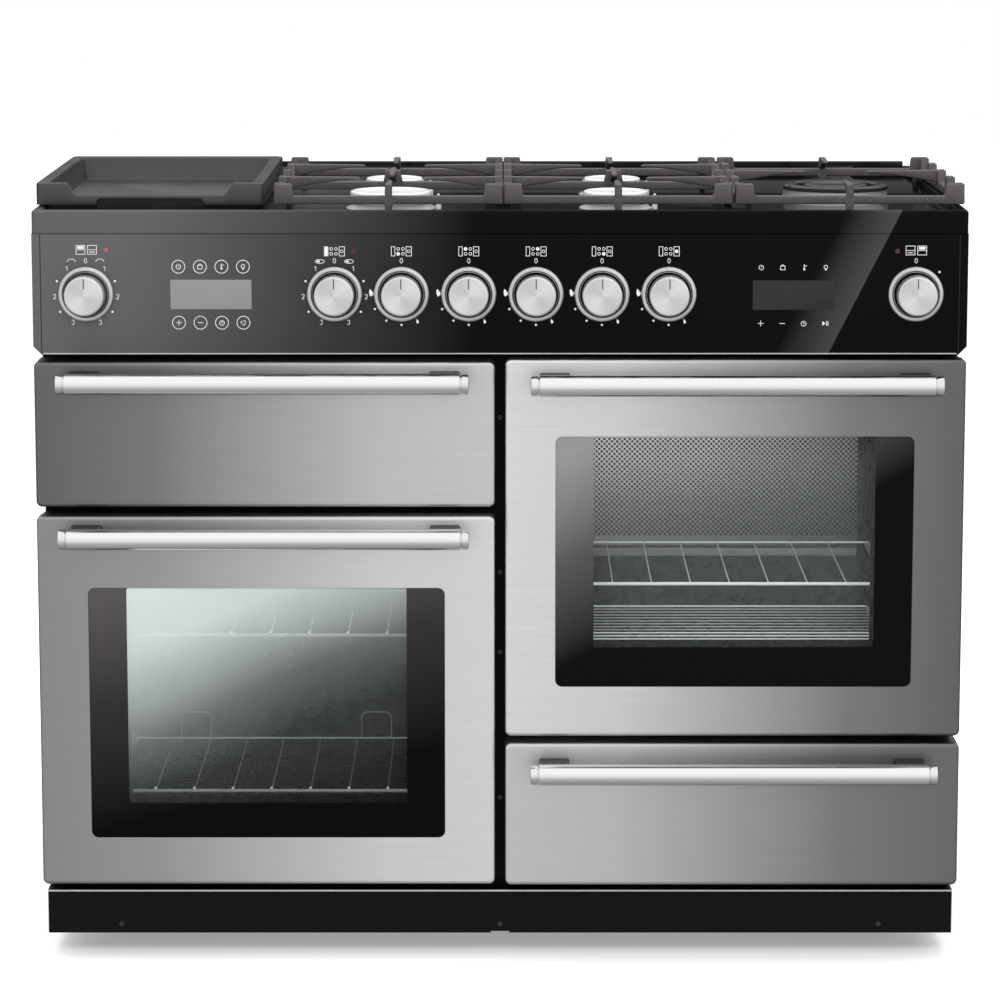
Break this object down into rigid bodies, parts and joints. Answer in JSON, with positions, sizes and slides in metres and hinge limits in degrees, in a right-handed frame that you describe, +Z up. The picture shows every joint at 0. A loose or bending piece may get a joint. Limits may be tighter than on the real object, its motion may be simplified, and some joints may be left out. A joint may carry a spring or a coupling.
{
  "type": "range cooker with double oven",
  "caption": "Wide free-standing range cooker: gas hob with griddle, glide-out grill, drop-down main and second ovens and a warm proving drawer, in brushed steel and black.",
  "frame": {"origin": "on the floor, below the middle of the cooker's box, handles included", "axes": "+X to the cook's right along the width, +Y to the back (the doors face -Y), +Z up"},
  "size_m": [1.092, 0.6604, 0.933],
  "materials": {
    "brushed_steel": "horizontally brushed stainless steel",
    "black_enamel": "black enamel or lacquer",
    "oven_enamel": "grey speckled oven enamel",
    "zinc_steel": "zinc-coated sheet steel",
    "hob_black": "gloss black hob enamel",
    "black_glass": "gloss black glass-fronted panel",
    "door_glass": "tinted oven-door glass",
    "chrome": "bright chrome",
    "satin_alu": "spun-brushed aluminium",
    "cast_iron": "matt enamelled cast iron",
    "griddle_iron": "non-stick coated cast iron",
    "burner_cap": "gloss black enamelled burner cap",
    "burner_alu": "cast aluminium burner body",
    "seal_rubber": "matt black seal",
    "black_plastic": "black moulded plastic",
    "brass": "machined brass",
    "element": "dark oxidised element sheath"
  },
  "bodies": {
    "chassis": {"plinth": "black_enamel", "screws": "zinc_steel", "base_tray": "zinc_steel", "levelling_feet": "black_plastic", "side_panels": "black_enamel", "back_panel": "zinc_steel", "front_frame": "black_enamel", "hob_plate": "hob_black", "control_fascia": "black_glass", "electric_controls": "black_plastic", "knob_bezels": "satin_alu", "gas_manifold": "brass", "main_oven_cavity": "oven_enamel", "second_oven_cavity": "oven_enamel", "grill_housing": "oven_enamel", "proving_housing": "zinc_steel", "door_seals": "seal_rubber", "main_oven_shelves": "chrome", "second_oven_shelves": "chrome", "burner_heads": "burner_alu", "burner_caps": "burner_cap", "fan_baffles": "oven_enamel", "hinge_arms": "zinc_steel", "runner_outers": "zinc_steel", "heating_elements": "element"},
    "griddle": {"griddle": "griddle_iron"},
    "left_pan_support": {"left_pan_support": "cast_iron"},
    "middle_pan_support": {"middle_pan_support": "cast_iron"},
    "right_pan_support": {"right_pan_support": "cast_iron"},
    "main_door": {"main_door_skin": "brushed_steel", "main_door_liner": "oven_enamel", "main_door_glass": "door_glass", "main_door_handle": "chrome"},
    "second_door": {"second_door_skin": "brushed_steel", "second_door_liner": "oven_enamel", "second_door_glass": "door_glass", "second_door_handle": "chrome"},
    "grill_drawer": {"grill_front": "brushed_steel", "grill_handle": "chrome", "grill_carriage": "oven_enamel"},
    "grill_middle_runners": {"grill_runner_middles": "zinc_steel"},
    "proving_drawer": {"proving_front": "brushed_steel", "proving_handle": "chrome", "proving_box": "zinc_steel"},
    "proving_middle_runners": {"proving_runner_middles": "zinc_steel"},
    "main_fan": {"main_oven_fan": "zinc_steel"},
    "second_fan": {"second_oven_fan": "zinc_steel"},
    "grill_knob": {"grill_knob": "satin_alu"},
    "griddle_knob": {"griddle_knob": "satin_alu"},
    "proving_knob": {"proving_knob": "satin_alu"},
    "front_left_burner_spindle": {"front_left_burner_spindle": "zinc_steel"},
    "front_left_burner_knob": {"front_left_burner_knob": "satin_alu"},
    "rear_left_burner_spindle": {"rear_left_burner_spindle": "zinc_steel"},
    "rear_left_burner_knob": {"rear_left_burner_knob": "satin_alu"},
    "rear_right_burner_spindle": {"rear_right_burner_spindle": "zinc_steel"},
    "rear_right_burner_knob": {"rear_right_burner_knob": "satin_alu"},
    "front_right_burner_spindle": {"front_right_burner_spindle": "zinc_steel"},
    "front_right_burner_knob": {"front_right_burner_knob": "satin_alu"},
    "wok_burner_spindle": {"wok_burner_spindle": "zinc_steel"},
    "wok_burner_knob": {"wok_burner_knob": "satin_alu"}
  },
  "joints": [
    {"name": "main_door_hinge", "type": "hinge", "parent": "chassis", "child": "main_door", "pos_m": [-0.276, -0.26575, 0.105], "axis": [1, 0, 0], "range_deg": [0, 90]},
    {"name": "second_door_hinge", "type": "hinge", "parent": "chassis", "child": "second_door", "pos_m": [0.2755, -0.26575, 0.2865], "axis": [1, 0, 0], "range_deg": [0, 90]},
    {"name": "grill_drawer_slide", "type": "slide", "parent": "chassis", "child": "grill_drawer", "axis": [0, -1, 0], "range_m": [0, 0.34]},
    {"name": "grill_middle_runner_slide", "type": "slide", "parent": "chassis", "child": "grill_middle_runners", "axis": [0, -1, 0], "range_m": [0, 0.17]},
    {"name": "proving_drawer_slide", "type": "slide", "parent": "chassis", "child": "proving_drawer", "axis": [0, -1, 0], "range_m": [0, 0.335]},
    {"name": "proving_middle_runner_slide", "type": "slide", "parent": "chassis", "child": "proving_middle_runners", "axis": [0, -1, 0], "range_m": [0, 0.1675]},
    {"name": "griddle_lift", "type": "slide", "parent": "chassis", "child": "griddle", "axis": [0, 0, 1], "range_m": [0, 0.1]},
    {"name": "left_pan_support_lift", "type": "slide", "parent": "chassis", "child": "left_pan_support", "axis": [0, 0, 1], "range_m": [0, 0.1]},
    {"name": "middle_pan_support_lift", "type": "slide", "parent": "chassis", "child": "middle_pan_support", "axis": [0, 0, 1], "range_m": [0, 0.1]},
    {"name": "right_pan_support_lift", "type": "slide", "parent": "chassis", "child": "right_pan_support", "axis": [0, 0, 1], "range_m": [0, 0.1]},
    {"name": "main_fan_spin", "type": "hinge", "parent": "chassis", "child": "main_fan", "pos_m": [-0.276, 0.18225, 0.31], "axis": [0, 1, 0], "continuous": true},
    {"name": "second_fan_spin", "type": "hinge", "parent": "chassis", "child": "second_fan", "pos_m": [0.2755, 0.18225, 0.494], "axis": [0, 1, 0], "continuous": true},
    {"name": "grill_knob_turn", "type": "hinge", "parent": "chassis", "child": "grill_knob", "pos_m": [-0.483, -0.27775, 0.807], "axis": [0, 1, 0], "range_deg": [-155, 155]},
    {"name": "griddle_knob_turn", "type": "hinge", "parent": "chassis", "child": "griddle_knob", "pos_m": [-0.193, -0.27775, 0.807], "axis": [0, 1, 0], "range_deg": [-155, 155]},
    {"name": "proving_knob_turn", "type": "hinge", "parent": "chassis", "child": "proving_knob", "pos_m": [0.485, -0.27775, 0.807], "axis": [0, 1, 0], "range_deg": [0, 47]},
    {"name": "front_left_burner_push", "type": "slide", "parent": "chassis", "child": "front_left_burner_spindle", "axis": [0, 1, 0], "range_m": [0, 0.0035], "stiffness_N_per_m": 1500},
    {"name": "front_left_burner_knob_turn", "type": "hinge", "parent": "front_left_burner_spindle", "child": "front_left_burner_knob", "pos_m": [-0.115, -0.27775, 0.807], "axis": [0, 1, 0], "range_deg": [-211, 0]},
    {"name": "rear_left_burner_push", "type": "slide", "parent": "chassis", "child": "rear_left_burner_spindle", "axis": [0, 1, 0], "range_m": [0, 0.0035], "stiffness_N_per_m": 1500},
    {"name": "rear_left_burner_knob_turn", "type": "hinge", "parent": "rear_left_burner_spindle", "child": "rear_left_burner_knob", "pos_m": [-0.0365, -0.27775, 0.807], "axis": [0, 1, 0], "range_deg": [-211, 0]},
    {"name": "rear_right_burner_push", "type": "slide", "parent": "chassis", "child": "rear_right_burner_spindle", "axis": [0, 1, 0], "range_m": [0, 0.0035], "stiffness_N_per_m": 1500},
    {"name": "rear_right_burner_knob_turn", "type": "hinge", "parent": "rear_right_burner_spindle", "child": "rear_right_burner_knob", "pos_m": [0.042, -0.27775, 0.807], "axis": [0, 1, 0], "range_deg": [-211, 0]},
    {"name": "front_right_burner_push", "type": "slide", "parent": "chassis", "child": "front_right_burner_spindle", "axis": [0, 1, 0], "range_m": [0, 0.0035], "stiffness_N_per_m": 1500},
    {"name": "front_right_burner_knob_turn", "type": "hinge", "parent": "front_right_burner_spindle", "child": "front_right_burner_knob", "pos_m": [0.119, -0.27775, 0.807], "axis": [0, 1, 0], "range_deg": [-211, 0]},
    {"name": "wok_burner_push", "type": "slide", "parent": "chassis", "child": "wok_burner_spindle", "axis": [0, 1, 0], "range_m": [0, 0.0035], "stiffness_N_per_m": 1500},
    {"name": "wok_burner_knob_turn", "type": "hinge", "parent": "wok_burner_spindle", "child": "wok_burner_knob", "pos_m": [0.197, -0.27775, 0.807], "axis": [0, 1, 0], "range_deg": [-211, 0]}
  ],
  "couplings": [
    {"joint": "grill_middle_runner_slide", "follows": "grill_drawer_slide", "ratio": 0.5},
    {"joint": "proving_middle_runner_slide", "follows": "proving_drawer_slide", "ratio": 0.5}
  ]
}
